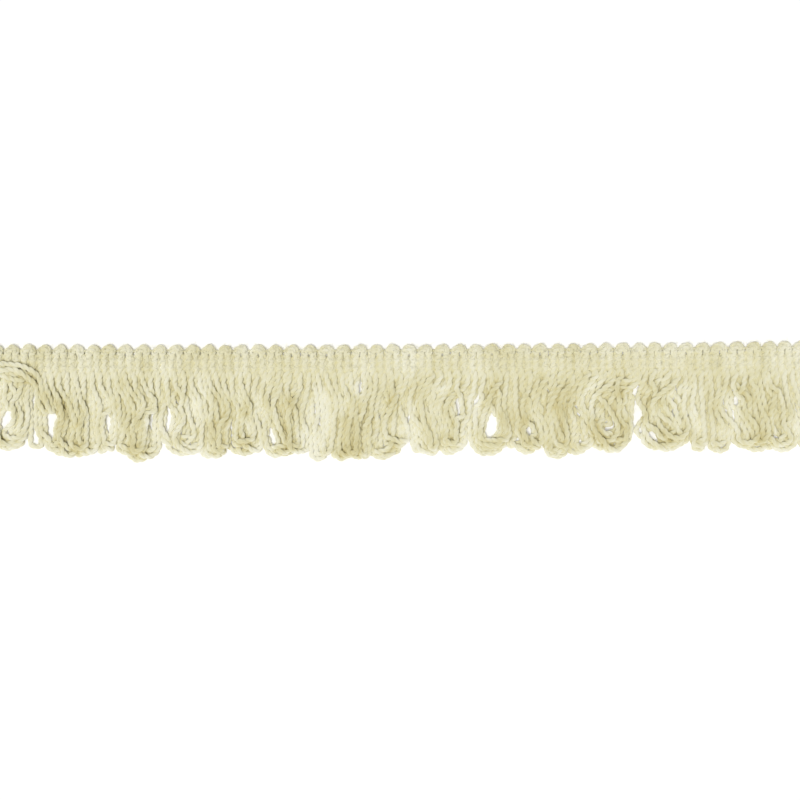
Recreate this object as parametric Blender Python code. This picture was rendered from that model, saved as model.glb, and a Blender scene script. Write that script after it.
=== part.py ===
"""Looped fringe: a cut length of knitted cotton trim, lying flat with its loops tumbled into bundles.

X runs along the trim, Y from the tips of the loops up to the scalloped edge of the heading, and Z up
from the surface. Sizes are in millimetres until a mesh is made. Before that, Y is measured from the
mean line of the scallops, so everything below that line has a negative Y.
"""

from collections import namedtuple

import bpy
import numpy as np

MM = 0.001

# Length of the trim
SCALLOPS = 50
PITCH = 4.65
LENGTH = SCALLOPS * PITCH
UNEVEN_PITCH = 0.09
BOW = 0.5

# Heading
SCALLOP_RISE = 1.4
HEADING_DEPTH = 6.2
CROWN_DEPTH = 3.2
CROWN_THICK = 3.0
LOWER_THICK = 2.8
EDGE_THICK = 1.7
GROOVE = 0.35

# Backing strip that carries the loops
STRIP_GAP = 0.3
STRIP_DEPTH = 1.0
STRIP_THICK = 3.1
STRIP_STEPS = 16
STRIP_TOP = -(HEADING_DEPTH + STRIP_GAP)
STRIP_FRONT = STRIP_TOP - STRIP_DEPTH

# Strands
ENDS = 3
STRAND_HALF_WIDTH = 0.5
STRAND_HEIGHT = 0.62
STRAND_REST = STRAND_HEIGHT / 3
CLEARANCE = 0.1
ROOT_INSIDE = 0.45
ROOT_HEIGHTS = (STRAND_REST + 0.24, STRAND_REST + 1.2, STRAND_REST + 2.04)
YARN = 1.36
SEED = 11

# Shape of a loop: the shares of its depth at which its legs are steered, how much of their way to its
# side they have gone at the second, how round its tip is, and how far it wanders along and down
NARROWEST_LOOP = 1.25
STEER_HIGH = 0.16
STEER_LOW = 0.45
GONE_ASIDE = 0.6
LONGEST_TIP = 4.2
ROUND_WIDTH = 0.72
ROUND_RISE = 0.3
TIP_SLOPE = 0.6
NEST_INSET = 0.3
ROOT_WANDER = (0.1, 0.15)
LEG_WANDER = (0.5, 0.6)
SIDE_WANDER = 0.15
STRAY = 0.08
SLOPE_WANDER = 0.5
TIP_STRETCH = (0.8, 1.3)

# Curves are sampled this often between two control points, and the pile this finely
CURVE_STEPS = 12
SAMPLE = 0.25
CELL = 0.2
LEVEL = 0.12
LEVELS = 56
PILE_MARGIN = 8.0
PILE_DEPTH = 30.0
STEEP_COST = 6.0
BLOCKED_COST = 1e6

COTTON = (0.86, 0.83, 0.66, 1.0)
COTTON_SHADE = (0.83, 0.80, 0.62, 1.0)

# One row for each bundle of loops, from left to right. valleys is how many dips between scallops it
# hangs from, left and right its two sides, tip where its lowest point lies between them, the drops its
# lower edge below the scallops, breadth how much of the bundle each loop spans, and nest how far the
# shortest loop stays inside the longest.
Bundle = namedtuple("Bundle", "valleys left right tip drop_left drop_tip drop_right breadth nest")
BUNDLES = (
    Bundle(2, -117.0, -104.5, 0.55, 28.7, 29.6, 27.2, 0.60, 2.3),
    Bundle(1, -104.8, -99.5, 0.50, 28.6, 29.7, 28.9, 0.60, 1.4),
    Bundle(3, -102.0, -83.0, 0.50, 29.9, 31.7, 29.7, 0.35, 2.3),
    Bundle(1, -86.0, -80.0, 0.50, 28.8, 29.9, 29.4, 0.60, 1.1),
    Bundle(3, -80.5, -68.0, 0.55, 30.2, 32.5, 30.5, 0.45, 2.3),
    Bundle(2, -68.5, -54.5, 0.85, 27.4, 31.3, 30.2, 0.60, 2.6),
    Bundle(2, -55.5, -48.5, 0.50, 30.8, 31.6, 29.9, 0.50, 0.9),
    Bundle(2, -49.0, -38.5, 0.60, 27.9, 31.3, 27.1, 0.60, 3.4),
    Bundle(3, -38.5, -25.5, 0.60, 27.9, 31.9, 31.1, 0.50, 2.6),
    Bundle(1, -26.0, -18.5, 0.50, 30.5, 32.2, 30.5, 0.55, 1.4),
    Bundle(3, -19.0, -8.0, 0.60, 30.5, 32.5, 31.1, 0.35, 1.1),
    Bundle(2, -9.0, 3.5, 0.30, 30.8, 32.3, 28.1, 0.60, 2.6),
    Bundle(2, 3.5, 13.0, 0.40, 28.3, 31.2, 30.4, 0.50, 2.4),
    Bundle(2, 10.0, 19.5, 0.40, 29.8, 30.6, 26.4, 0.55, 2.8),
    Bundle(2, 19.5, 31.5, 0.55, 27.0, 31.3, 28.8, 0.70, 3.1),
    Bundle(2, 31.0, 42.0, 0.40, 28.8, 30.5, 29.1, 0.50, 1.7),
    Bundle(2, 41.0, 48.0, 0.50, 29.7, 32.0, 30.3, 0.70, 2.6),
    Bundle(1, 47.0, 54.5, 0.30, 29.7, 30.9, 28.7, 0.70, 1.4),
    Bundle(3, 53.5, 66.0, 0.45, 28.4, 30.7, 26.2, 0.70, 4.0),
    Bundle(3, 67.0, 83.0, 0.75, 25.2, 31.1, 28.6, 0.60, 4.0),
    Bundle(1, 82.5, 87.5, 0.50, 28.9, 30.1, 28.1, 0.60, 1.4),
    Bundle(1, 87.0, 93.5, 0.50, 29.5, 31.3, 28.8, 0.75, 1.7),
    Bundle(2, 93.0, 105.5, 0.80, 27.6, 30.6, 30.2, 0.55, 2.6),
    Bundle(2, 101.5, 112.5, 0.30, 30.0, 31.1, 26.6, 0.60, 2.6),
    Bundle(1, 112.0, 119.0, 0.50, 25.8, 30.5, 28.0, 0.60, 1.7),
)

# One row for each place where the strands part round an open lens. drop is how far below the scallops
# its middle lies, and lean how far it moves along the trim for each millimetre further down.
Parting = namedtuple("Parting", "x drop half_length half_width lean")
PARTINGS = (
    Parting(-111.0, 20.7, 4.0, 1.3, -0.35),
    Parting(-98.0, 21.5, 4.3, 1.0, -0.40),
    Parting(-82.5, 22.0, 4.0, 0.9, 0.00),
    Parting(-70.0, 20.9, 4.0, 1.1, -0.05),
    Parting(-65.5, 21.1, 4.3, 1.2, -0.15),
    Parting(-63.0, 15.5, 2.0, 0.4, 0.10),
    Parting(-36.0, 25.7, 3.4, 0.7, 0.30),
    Parting(-11.0, 11.6, 3.4, 0.6, 0.05),
    Parting(16.5, 17.9, 5.1, 0.7, 0.10),
    Parting(22.0, 15.7, 2.0, 0.7, -0.20),
    Parting(27.0, 22.8, 4.3, 1.4, 0.10),
    Parting(33.5, 27.1, 2.0, 0.7, 0.20),
    Parting(36.5, 24.6, 2.3, 0.9, 0.20),
    Parting(50.0, 18.4, 2.6, 0.6, 0.10),
    Parting(58.5, 23.6, 2.6, 1.1, -0.10),
    Parting(66.5, 13.5, 2.3, 0.9, 0.10),
    Parting(67.5, 19.4, 3.4, 1.4, 0.30),
    Parting(71.5, 25.7, 2.6, 1.3, 0.60),
    Parting(95.5, 16.9, 2.0, 0.7, 0.00),
    Parting(106.5, 27.2, 1.4, 0.9, 0.00),
)
PARTING_REACH = 2.5 * YARN

# The two loops that have flipped up over the heading at the left end. One row for each place along the
# outer one, from its left leg over the heading and back down to its right leg: across from the middle of
# its roots, drop below the scallops, and nest, how much of a yarn's width the inner one stays inside it.
FLIPPED_VALLEY = 2
FLIPPED_SPACING = 1.3
Turn = namedtuple("Turn", "across drop nest")
FLIPPED_TURNS = (
    Turn(-1.6, 9.0, 0.3),
    Turn(-3.6, 9.2, 1.0),
    Turn(-6.2, 9.8, 1.0),
    Turn(-9.0, 9.0, 1.0),
    Turn(-11.6, 7.2, 1.0),
    Turn(-13.4, 6.0, 1.0),
    Turn(-12.2, 5.1, 1.0),
    Turn(-8.3, 5.0, 1.0),
    Turn(-4.6, 5.9, 1.0),
    Turn(-1.4, 9.0, 1.0),
    Turn(0.4, 12.6, 1.0),
    Turn(1.2, 16.2, 0.5),
    Turn(1.8, 17.9, 0.0),
    Turn(3.0, 17.6, 0.0),
    Turn(3.2, 15.6, 0.0),
    Turn(2.2, 11.5, 0.0),
)


def bow(x):
    """How far the trim's line has bent up at this place."""
    return BOW * (2 * x / LENGTH) ** 2


def scallop_ends():
    """Where each scallop begins along the trim, with the end of the last one."""
    rng = np.random.default_rng(SEED)
    widths = PITCH * (1 + UNEVEN_PITCH * rng.uniform(-1, 1, SCALLOPS))
    ends = np.concatenate([[0], np.cumsum(widths)])
    return (ends / ends[-1] - 0.5) * LENGTH


def smooth_curve(points, steps=CURVE_STEPS):
    """A Catmull-Rom curve through the points, with this many steps between two of them."""
    points = np.asarray(points, float)
    before = 2 * points[0] - points[1]
    after = 2 * points[-1] - points[-2]
    p = np.vstack([before, points, after])
    t = np.linspace(0, 1, steps, endpoint=False)[:, None]
    spans = []
    for a, b, c, d in zip(p[:-3], p[1:-2], p[2:-1], p[3:]):
        straight = 2 * b + (c - a) * t
        bend = (2 * a - 5 * b + 4 * c - d) * t**2 + (3 * b - a - 3 * c + d) * t**3
        spans.append(0.5 * (straight + bend))
    return np.vstack(spans + [points[-1:]])


def part_strands(curve):
    """The curve pushed aside round each parting, so that an open lens is left there."""
    curve = curve.copy()
    lowest = int(np.argmin(curve[:, 1]))
    for leg in (curve[:lowest], curve[lowest:]):
        for place in PARTINGS:
            down = -leg[:, 1] - place.drop
            along = down / place.half_length
            if np.abs(along).min() > 1:
                continue
            across = leg[:, 0] - place.x - place.lean * down
            side = 1.0 if across[np.argmin(np.abs(along))] > 0 else -1.0
            open_by = (place.half_width + YARN / 2) * np.clip(1 - along**2, 0, 1)
            fade = np.clip(1 - np.abs(across) / (place.half_width + PARTING_REACH), 0, 1)
            leg[:, 0] += side * open_by * fade
    return curve


def lower_edge(bundle, x):
    """Y of the bundle's lower edge at this place."""
    tip = bundle.left + bundle.tip * (bundle.right - bundle.left)
    if x < tip:
        share = (tip - x) / (tip - bundle.left)
        return -bundle.drop_tip + (bundle.drop_tip - bundle.drop_left) * share**2
    share = (x - tip) / (bundle.right - tip)
    return -bundle.drop_tip + (bundle.drop_tip - bundle.drop_right) * share**2


def loop_route(bundle, order, count, nest_share, roots, rng):
    """Control points of one loop, down from its left root, round its tip and up to its right root."""
    wide = bundle.right - bundle.left - YARN
    along = np.clip(order / (count - 1) + rng.normal(0, STRAY), 0, 1)
    inset = NEST_INSET * bundle.nest * nest_share
    left = bundle.left + YARN / 2 + along * (1 - bundle.breadth) * wide + inset
    right = left + bundle.breadth * wide - 2 * inset
    half = max((right - left) / 2, NARROWEST_LOOP)
    middle = (left + right) / 2
    tip = lower_edge(bundle, middle) + bundle.nest * nest_share + YARN / 2
    round_off = min(half * rng.uniform(*TIP_STRETCH), LONGEST_TIP)
    fall = (bundle.drop_left - bundle.drop_right) * half / wide
    slope = TIP_SLOPE * fall + rng.normal(0, SLOPE_WANDER)
    depth = STRIP_FRONT - tip

    def leg(root, side):
        shoulder = middle + side * half
        high = np.array([root, STRIP_FRONT - STEER_HIGH * depth])
        low = np.array([root + GONE_ASIDE * (shoulder - root), STRIP_FRONT - STEER_LOW * depth])
        return [
            high + rng.normal(0, ROOT_WANDER),
            low + rng.normal(0, LEG_WANDER),
            (shoulder + rng.normal(0, SIDE_WANDER), tip + round_off + side * slope),
            (middle + side * ROUND_WIDTH * half, tip + ROUND_RISE * round_off + side * slope / 2),
        ]

    root_left, root_right = roots
    down = leg(root_left, -1)
    up = leg(root_right, 1)
    inside = STRIP_FRONT + ROOT_INSIDE
    return [(root_left, inside), *down, (middle, tip), *reversed(up), (root_right, inside)]


def flipped_route(end, roots):
    """Control points of a loop that has turned back up over the heading, towards the left."""
    middle = sum(roots) / 2
    way = np.array([(middle + turn.across, -turn.drop) for turn in FLIPPED_TURNS])
    along = np.gradient(way, axis=0)
    along /= np.linalg.norm(along, axis=1)[:, None]
    inward = np.column_stack([along[:, 1], -along[:, 0]])
    nest = FLIPPED_SPACING * (ENDS - 1 - end) * np.array([turn.nest for turn in FLIPPED_TURNS])
    way += nest[:, None] * inward
    inside = STRIP_FRONT + ROOT_INSIDE
    left, right = roots
    return [(left, inside), *way, (right, inside)]


def loop_routes():
    """Every loop's parted plan curve, the height of its roots and whether it is flipped, lowest first."""
    rng = np.random.default_rng(SEED)
    edges = scallop_ends()
    tops = (edges[:-1] + edges[1:]) / 2
    valley = 0
    found = []
    for bundle in BUNDLES:
        count = bundle.valleys * ENDS
        rows = [rng.permutation(bundle.valleys) for _ in range(ENDS)]
        for order in range(count):
            end = order % ENDS
            place = valley + order // ENDS
            dip = edges[place + 1]
            share = (2 * end + 1) / (2 * ENDS)
            roots = (tops[place] + share * (dip - tops[place]), dip + share * (tops[place + 1] - dip))
            flipped = place == FLIPPED_VALLEY and end > 0
            nest_share = (rows[end][order // ENDS] + end / ENDS) / bundle.valleys
            route = loop_route(bundle, order, count, nest_share, roots, rng)
            if flipped:
                curve = smooth_curve(flipped_route(end, roots))
            else:
                curve = part_strands(smooth_curve(route))
            curve[:, 1] += bow(curve[:, 0])
            layer = ENDS if flipped else end + rng.random()
            found.append((layer, curve, ROOT_HEIGHTS[end], flipped))
        valley += bundle.valleys
    found.sort(key=lambda loop: loop[0])
    return [loop[1:] for loop in found]


class Pile:
    """Which heights are taken by the strands already laid, over each cell of the plan."""

    def __init__(self):
        self.corner = np.array([-LENGTH / 2 - PILE_MARGIN, STRIP_FRONT - PILE_DEPTH])
        size = np.array([LENGTH + 2 * PILE_MARGIN, PILE_DEPTH - STRIP_FRONT + PILE_MARGIN])
        cells = np.ceil(size / CELL).astype(int)
        self.taken = np.zeros((*cells, LEVELS), bool)
        reach = 2 * STRAND_HALF_WIDTH + CLEARANCE + CELL / 2
        span = int(np.ceil(reach / CELL))
        gx, gy = np.mgrid[-span:span + 1, -span:span + 1]
        away = np.hypot(gx, gy) * CELL
        near = away < reach
        self.offsets = np.stack([gx[near], gy[near]], axis=1)
        self.apart = CLEARANCE + STRAND_HEIGHT * np.clip((reach - away[near]) / STRAND_HALF_WIDTH, 0, 1)

    def cells(self, plan):
        return np.round((plan - self.corner) / CELL).astype(int)

    def over(self, plan):
        """The taken levels at each place."""
        ij = self.cells(plan)
        return self.taken[ij[:, 0], ij[:, 1]]

    def add(self, plan, height):
        ij = (self.cells(plan)[:, None] + self.offsets).reshape(-1, 2)
        low = level_of(height[:, None] - self.apart).ravel()
        high = level_of(height[:, None] + self.apart).ravel()
        for step in range((high - low).max() + 1):
            level = low + step
            inside = (level >= 0) & (level <= np.minimum(high, LEVELS - 1))
            self.taken[ij[inside, 0], ij[inside, 1], level[inside]] = True


def level_of(height):
    return np.round((height - STRAND_REST) / LEVEL).astype(int)


def span_between(a, b, flipped, at_root, pile):
    """Shares along this straight stretch, its places, and the levels taken at each of them."""
    steps = max(int(np.linalg.norm(b - a) / SAMPLE), 3)
    t = (np.arange(steps) + 0.5) / steps
    places = a + (b - a) * t[:, None]
    covered = places[:, 1] - bow(places[:, 0]) > STRIP_FRONT - STRAND_HALF_WIDTH
    taken = pile.over(places)
    if flipped and not at_root:
        taken[covered, :level_of(CROWN_THICK + STRIP_GAP + STRAND_REST)] = True
    if at_root:
        inside = places[:, 1] - bow(places[:, 0]) > STRIP_FRONT
        taken[inside] = False
    return t, places, taken


def settle(plan, root_height, flipped, pile):
    """Heights of the strand's points, so that it lies low and straight and clears those already laid."""
    last = len(plan) - 2
    heights = STRAND_REST + LEVEL * np.arange(LEVELS)
    root = level_of(np.array(root_height))
    cost = np.full(LEVELS, np.inf)
    cost[root] = 0
    came_from = []
    spans = []
    for k in range(last + 1):
        span = span_between(plan[k], plan[k + 1], flipped, k in (0, last), pile)
        t, _, taken = span
        line = heights[:, None, None] * (1 - t) + heights[None, :, None] * t
        blocked = taken[np.arange(len(t)), level_of(line)].any(axis=2)
        length = np.linalg.norm(plan[k + 1] - plan[k])
        climb = (heights[None, :] - heights[:, None]) ** 2 / length
        step = STEEP_COST * climb + heights[None, :] * length
        total = cost[:, None] + np.where(blocked, BLOCKED_COST, step)
        came_from.append(total.argmin(axis=0))
        cost = total.min(axis=0)
        spans.append(span)
    level = root
    levels = [level]
    for back in reversed(came_from):
        level = back[level]
        levels.append(level)
    z = heights[np.array(levels[::-1])]
    for k, (t, places, _) in enumerate(spans):
        pile.add(places, (1 - t) * z[k] + t * z[k + 1])
    return z


def strands():
    """Every loop as the points of its centre line in space."""
    pile = Pile()
    found = []
    for curve, root_height, flipped in loop_routes():
        plan = curve[::CURVE_STEPS]
        z = settle(plan, root_height, flipped, pile)
        found.append(np.column_stack([plan, z]))
    return found


def strand_mesh(points):
    """Corners and faces of a three-sided strand along the points, flat side down and closed at its ends."""
    plan = points[:, :2]
    ahead = np.diff(plan, axis=0)
    ahead /= np.linalg.norm(ahead, axis=1)[:, None]
    along = np.vstack([ahead[:1], ahead[:-1] + ahead[1:], ahead[-1:]])
    along /= np.linalg.norm(along, axis=1)[:, None]
    across = np.column_stack([along[:, 1], -along[:, 0]])
    facing = np.vstack([ahead[:1], ahead])
    mitre = 1 / np.clip(np.sum(along * facing, axis=1), 0.75, 1)
    across *= (STRAND_HALF_WIDTH * mitre)[:, None]
    corners = []
    for (x, y, z), (dx, dy) in zip(points, across):
        corners += [
            (x + dx, y + dy, z - STRAND_REST),
            (x - dx, y - dy, z - STRAND_REST),
            (x, y, z - STRAND_REST + STRAND_HEIGHT),
        ]
    last = 3 * (len(points) - 1)
    faces = [(0, 1, 2), (last + 2, last + 1, last)]
    for k in range(0, last, 3):
        for side in range(3):
            other = (side + 1) % 3
            faces.append((k + side, k + 3 + side, k + 3 + other, k + other))
    return corners, faces


def make_material(name, colour):
    material = bpy.data.materials.new(name)
    material.use_nodes = True
    shader = material.node_tree.nodes["Principled BSDF"]
    shader.inputs["Base Color"].default_value = colour
    shader.inputs["Roughness"].default_value = 0.9
    shader.inputs["Metallic"].default_value = 0.0
    return material


def make_object(name, corners, faces, material):
    mesh = bpy.data.meshes.new(name)
    mesh.from_pydata([tuple(MM * v for v in corner) for corner in corners], [], faces)
    mesh.validate()
    mesh.materials.append(material)
    obj = bpy.data.objects.new(name, mesh)
    bpy.context.scene.collection.objects.link(obj)
    return obj


def sweep(sections):
    """Corners and faces of a closed body that runs through these sections of equal numbers of points."""
    ring = len(sections[0])
    corners = [point for section in sections for point in section]
    last = ring * (len(sections) - 1)
    faces = [tuple(reversed(range(ring))), tuple(range(last, last + ring))]
    for k in range(0, last, ring):
        for side in range(ring):
            other = (side + 1) % ring
            faces.append((k + side, k + other, k + ring + other, k + ring + side))
    return corners, faces


def make_heading():
    """The knitted band: flat below, scalloped along its edge, with a raised rib for each course."""
    ends = scallop_ends()
    sections = []
    for start, stop in zip(ends[:-1], ends[1:]):
        for share, rise, rib in ((0, 0, 0), (0.25, 0.8, 1), (0.5, 1, 0), (0.75, 0.8, 1)):
            sections.append(heading_section(start + share * (stop - start), rise, rib))
    sections.append(heading_section(ends[-1], 0, 0))
    corners, faces = sweep(sections)
    return make_object("heading", corners, faces, make_material("cotton_heading", COTTON))


def heading_section(x, rise, rib):
    """The band's section at this place, on a rib or in a groove."""
    lift = bow(x)
    edge = lift + SCALLOP_RISE * (rise - 0.5)
    groove = 0 if rib else GROOVE
    return [
        (x, lift - HEADING_DEPTH, 0),
        (x, edge, 0),
        (x, edge, EDGE_THICK - groove),
        (x, lift - CROWN_DEPTH, CROWN_THICK - groove),
        (x, lift - HEADING_DEPTH, LOWER_THICK - groove),
    ]


def make_loop_skirt():
    """The narrow strip along the heading with every loop grown out of its front."""
    material = make_material("cotton_loops", COTTON_SHADE)
    sections = []
    for x in np.linspace(-LENGTH / 2, LENGTH / 2, STRIP_STEPS + 1):
        front = STRIP_FRONT + bow(x)
        back = STRIP_TOP + bow(x)
        sections.append([(x, front, 0), (x, back, 0), (x, back, STRIP_THICK), (x, front, STRIP_THICK)])
    skirt = make_object("loop_skirt", *sweep(sections), material)
    corners, faces = [], []
    for points in strands():
        more_corners, more_faces = strand_mesh(points)
        faces += [tuple(len(corners) + i for i in face) for face in more_faces]
        corners += more_corners
    loops = make_object("strand_guide", corners, faces, material)
    loops.hide_render = True
    loops.display_type = "WIRE"
    union = skirt.modifiers.new("Loops", "BOOLEAN")
    union.operation = "UNION"
    union.solver = "EXACT"
    union.object = loops
    return skirt, loops


def centre(objects):
    """Moves the objects together, so that their middle lies over the origin."""
    corners = np.vstack([[v.co[:] for v in obj.data.vertices] for obj in objects])
    middle = (corners.min(axis=0) + corners.max(axis=0)) / 2
    for obj in objects:
        obj.location = (-middle[0], -middle[1], 0)


def main():
    for obj in list(bpy.data.objects):
        bpy.data.objects.remove(obj)
    heading = make_heading()
    skirt, loops = make_loop_skirt()
    centre([heading, skirt, loops])


main()
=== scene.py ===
"""Looped fringe: every loop, knitted rib and chain stitch as real twisted cotton yarn.

Sizes are in millimetres, measured as in the part: X along the trim from its middle, Y from the mean line
of the scallops and Z from the surface. place_over_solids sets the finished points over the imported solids.
"""

import math
from collections import namedtuple

import bpy
import numpy as np
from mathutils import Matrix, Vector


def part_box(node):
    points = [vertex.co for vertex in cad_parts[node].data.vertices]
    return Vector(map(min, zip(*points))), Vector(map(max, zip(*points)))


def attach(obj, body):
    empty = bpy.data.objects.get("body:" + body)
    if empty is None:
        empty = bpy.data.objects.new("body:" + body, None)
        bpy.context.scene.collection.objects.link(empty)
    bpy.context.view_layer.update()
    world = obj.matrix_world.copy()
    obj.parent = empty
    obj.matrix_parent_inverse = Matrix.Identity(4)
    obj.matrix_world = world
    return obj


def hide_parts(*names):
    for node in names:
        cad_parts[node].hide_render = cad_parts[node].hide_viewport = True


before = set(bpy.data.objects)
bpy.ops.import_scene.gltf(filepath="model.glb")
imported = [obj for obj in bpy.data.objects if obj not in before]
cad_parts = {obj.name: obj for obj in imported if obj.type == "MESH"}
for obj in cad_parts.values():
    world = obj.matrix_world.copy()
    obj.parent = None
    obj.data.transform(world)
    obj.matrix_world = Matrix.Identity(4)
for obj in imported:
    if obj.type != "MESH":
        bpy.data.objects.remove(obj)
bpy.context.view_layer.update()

MM = 0.001

# The trim's length and the line that it lies in
SCALLOPS = 50
PITCH = 4.65
LENGTH = SCALLOPS * PITCH
UNEVEN_PITCH = 0.09
BOW = 0.5

# The heading and the strip that the loops grow from in the solids
HEADING_DEPTH = 6.2
STRIP_GAP = 0.3
STRIP_DEPTH = 1.0
STRIP_TOP = -(HEADING_DEPTH + STRIP_GAP)
STRIP_FRONT = STRIP_TOP - STRIP_DEPTH
CROWN_THICK = 3.0

# The solids' strands
ENDS = 3
STRAND_HALF_WIDTH = 0.5
STRAND_HEIGHT = 0.62
STRAND_REST = STRAND_HEIGHT / 3
CLEARANCE = 0.1
ROOT_INSIDE = 0.45
ROOT_HEIGHTS = (STRAND_REST + 0.24, STRAND_REST + 1.2, STRAND_REST + 2.04)
YARN = 1.36
SEED = 11

# Shape of a loop: the shares of its depth at which its legs are steered, how much of their way to its
# side they have gone at the second, how round its tip is, and how far it wanders along and down
NARROWEST_LOOP = 1.25
STEER_HIGH = 0.16
STEER_LOW = 0.45
GONE_ASIDE = 0.6
LONGEST_TIP = 4.2
ROUND_WIDTH = 0.72
ROUND_RISE = 0.3
TIP_SLOPE = 0.6
NEST_INSET = 0.3
ROOT_WANDER = (0.1, 0.15)
LEG_WANDER = (0.5, 0.6)
SIDE_WANDER = 0.15
STRAY = 0.08
SLOPE_WANDER = 0.5
TIP_STRETCH = (0.8, 1.3)

# Curves are sampled this often between two control points, laid loops this often between two of their
# points, and the pile this finely
CURVE_STEPS = 12
LOOP_STEPS = 2
SAMPLE = 0.25
FEWEST_SAMPLES = 3
CELL = 0.2
LEVEL = 0.12
LEVELS = 56
PILE_MARGIN = 8.0
PILE_DEPTH = 30.0
STEEP_COST = 6.0
BLOCKED_COST = 1e6

# One row for each bundle of loops, from left to right, as in the part, but the second one's loop is wider
Bundle = namedtuple("Bundle", "valleys left right tip drop_left drop_tip drop_right breadth nest")
BUNDLES = (
    Bundle(2, -117.0, -104.5, 0.55, 28.7, 29.6, 27.2, 0.60, 2.3),
    Bundle(1, -104.8, -99.5, 0.50, 28.6, 29.7, 28.9, 0.85, 1.4),
    Bundle(3, -102.0, -83.0, 0.50, 29.9, 31.7, 29.7, 0.35, 2.3),
    Bundle(1, -86.0, -80.0, 0.50, 28.8, 29.9, 29.4, 0.60, 1.1),
    Bundle(3, -80.5, -68.0, 0.55, 30.2, 32.5, 30.5, 0.45, 2.3),
    Bundle(2, -68.5, -54.5, 0.85, 27.4, 31.3, 30.2, 0.60, 2.6),
    Bundle(2, -55.5, -48.5, 0.50, 30.8, 31.6, 29.9, 0.50, 0.9),
    Bundle(2, -49.0, -38.5, 0.60, 27.9, 31.3, 27.1, 0.60, 3.4),
    Bundle(3, -38.5, -25.5, 0.60, 27.9, 31.9, 31.1, 0.50, 2.6),
    Bundle(1, -26.0, -18.5, 0.50, 30.5, 32.2, 30.5, 0.55, 1.4),
    Bundle(3, -19.0, -8.0, 0.60, 30.5, 32.5, 31.1, 0.35, 1.1),
    Bundle(2, -9.0, 3.5, 0.30, 30.8, 32.3, 28.1, 0.60, 2.6),
    Bundle(2, 3.5, 13.0, 0.40, 28.3, 31.2, 30.4, 0.50, 2.4),
    Bundle(2, 10.0, 19.5, 0.40, 29.8, 30.6, 26.4, 0.55, 2.8),
    Bundle(2, 19.5, 31.5, 0.55, 27.0, 31.3, 28.8, 0.70, 3.1),
    Bundle(2, 31.0, 42.0, 0.40, 28.8, 30.5, 29.1, 0.50, 1.7),
    Bundle(2, 41.0, 48.0, 0.50, 29.7, 32.0, 30.3, 0.70, 2.6),
    Bundle(1, 47.0, 54.5, 0.30, 29.7, 30.9, 28.7, 0.70, 1.4),
    Bundle(3, 53.5, 66.0, 0.45, 28.4, 30.7, 26.2, 0.70, 4.0),
    Bundle(3, 67.0, 83.0, 0.75, 25.2, 31.1, 28.6, 0.60, 4.0),
    Bundle(1, 82.5, 87.5, 0.50, 28.9, 30.1, 28.1, 0.60, 1.4),
    Bundle(1, 87.0, 93.5, 0.50, 29.5, 31.3, 28.8, 0.75, 1.7),
    Bundle(2, 93.0, 105.5, 0.80, 27.6, 30.6, 30.2, 0.55, 2.6),
    Bundle(2, 101.5, 112.5, 0.30, 30.0, 31.1, 26.6, 0.60, 2.6),
    Bundle(1, 112.0, 119.0, 0.50, 25.8, 30.5, 28.0, 0.60, 1.7),
)

# One row for each place where the strands part round an open lens, as in the part
Parting = namedtuple("Parting", "x drop half_length half_width lean")
PARTINGS = (
    Parting(-111.0, 20.7, 4.0, 1.3, -0.35),
    Parting(-98.0, 21.5, 4.3, 1.0, -0.40),
    Parting(-82.5, 22.0, 4.0, 0.9, 0.00),
    Parting(-70.0, 20.9, 4.0, 1.1, -0.05),
    Parting(-65.5, 21.1, 4.3, 1.2, -0.15),
    Parting(-63.0, 15.5, 2.0, 0.4, 0.10),
    Parting(-36.0, 25.7, 3.4, 0.7, 0.30),
    Parting(-11.0, 11.6, 3.4, 0.6, 0.05),
    Parting(16.5, 17.9, 5.1, 0.7, 0.10),
    Parting(22.0, 15.7, 2.0, 0.7, -0.20),
    Parting(27.0, 22.8, 4.3, 1.4, 0.10),
    Parting(33.5, 27.1, 2.0, 0.7, 0.20),
    Parting(36.5, 24.6, 2.3, 0.9, 0.20),
    Parting(50.0, 18.4, 2.6, 0.6, 0.10),
    Parting(58.5, 23.6, 2.6, 1.1, -0.10),
    Parting(66.5, 13.5, 2.3, 0.9, 0.10),
    Parting(67.5, 19.4, 3.4, 1.4, 0.30),
    Parting(71.5, 25.7, 2.6, 1.3, 0.60),
    Parting(95.5, 16.9, 2.0, 0.7, 0.00),
    Parting(106.5, 27.2, 1.4, 0.9, 0.00),
)
PARTING_REACH = 2.5 * YARN

# The two loops that have flipped up over the heading at the left end, with their outer legs on top and a
# little further out than in the part. Such a leg starts to rise where the loop's way, which runs over
# RISE_SPAN, passes 0, and is down again where it passes 1.
FLIPPED_VALLEY = 2
FLIPPED_SPACING = 1.3
FLIPPED_RISE = 3.0
RISE_SPAN = (-0.7, 1.6)
Turn = namedtuple("Turn", "across drop nest")
FLIPPED_TURNS = (
    Turn(-1.6, 9.0, 0.3),
    Turn(-3.6, 9.2, 1.0),
    Turn(-6.2, 9.8, 1.0),
    Turn(-9.0, 9.0, 1.0),
    Turn(-11.6, 7.2, 1.0),
    Turn(-13.4, 6.0, 1.0),
    Turn(-12.2, 5.6, 1.0),
    Turn(-8.3, 5.5, 1.0),
    Turn(-4.6, 6.1, 1.0),
    Turn(-0.6, 8.6, 1.0),
    Turn(1.4, 12.4, 1.0),
    Turn(2.3, 16.2, 1.0),
    Turn(2.8, 18.4, 0.6),
    Turn(3.6, 18.2, 0.0),
    Turn(2.6, 15.6, 0.0),
    Turn(1.6, 11.5, 0.0),
)

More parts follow.
